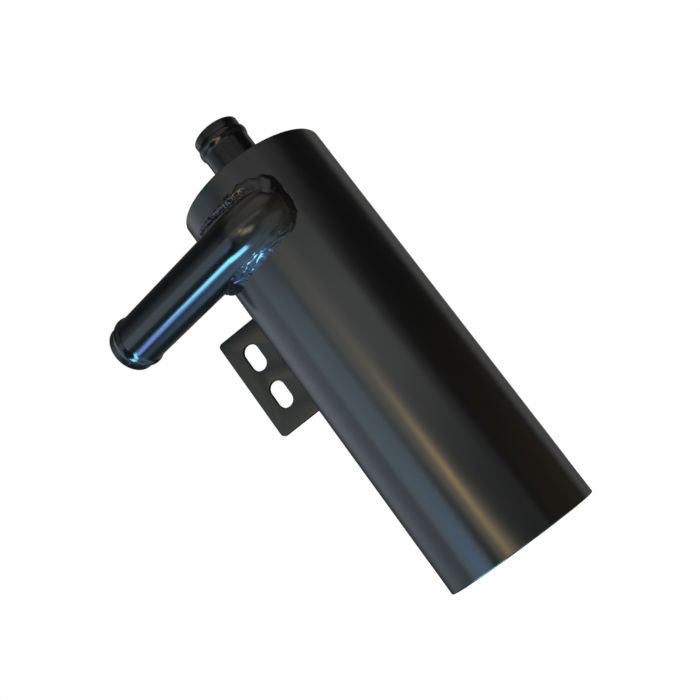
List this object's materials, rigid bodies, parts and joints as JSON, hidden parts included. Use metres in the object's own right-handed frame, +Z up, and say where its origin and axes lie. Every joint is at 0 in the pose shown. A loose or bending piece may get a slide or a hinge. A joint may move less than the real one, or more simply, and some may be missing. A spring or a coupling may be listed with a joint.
{
  "type": "oil catch can",
  "caption": "Welded cylindrical oil catch can with a straight top outlet, a bent side inlet, a slotted mounting plate, inner baffles and a flush drain plug.",
  "frame": {"origin": "centre of the flat bottom face, on the can's axis", "axes": "+Z up the can's axis and out of the outlet; +Y towards the mounting plate at the back; the plate's free end and the inlet lie towards -X"},
  "size_m": [0.1508, 0.0918, 0.2523],
  "materials": {
    "satin_black": "satin black coat on aluminium",
    "gloss_black": "glossy black coat on aluminium",
    "weld_black": "black coat over weld ripples",
    "matt_black": "matt black coat on flat aluminium plate",
    "bare_aluminium": "mill finish",
    "washer_metal": "turned, soft",
    "plug_steel": "black oxide"
  },
  "bodies": {
    "can": {"body_tube": "satin_black", "bottom_cap": "satin_black", "top_cap": "satin_black", "bottom_seam_weld": "satin_black", "top_seam_weld": "satin_black", "outlet_stub": "gloss_black", "outlet_weld": "weld_black", "inlet_elbow": "gloss_black", "inlet_weld": "weld_black", "mounting_bracket": "matt_black", "bracket_weld_free_side": "weld_black", "bracket_weld_seat_side": "weld_black", "lower_baffle": "bare_aluminium", "upper_baffle": "bare_aluminium", "baffle_tack_welds": "bare_aluminium", "drain_boss": "satin_black", "drain_boss_weld": "bare_aluminium"},
    "washer": {"sealing_washer": "washer_metal"},
    "plug": {"drain_plug": "plug_steel"}
  },
  "joints": [
    {"name": "drain_plug_lift", "type": "slide", "parent": "can", "child": "washer", "axis": [0, 0, -1], "range_m": [0, 0.0105]},
    {"name": "drain_plug_turn", "type": "hinge", "parent": "washer", "child": "plug", "pos_m": [0, -0.019, 0], "axis": [0, 0, -1], "range_deg": [0, 2520]}
  ],
  "couplings": [
    {"joint": "drain_plug_lift", "follows": "drain_plug_turn", "m_per_rad": 0.00023873}
  ]
}
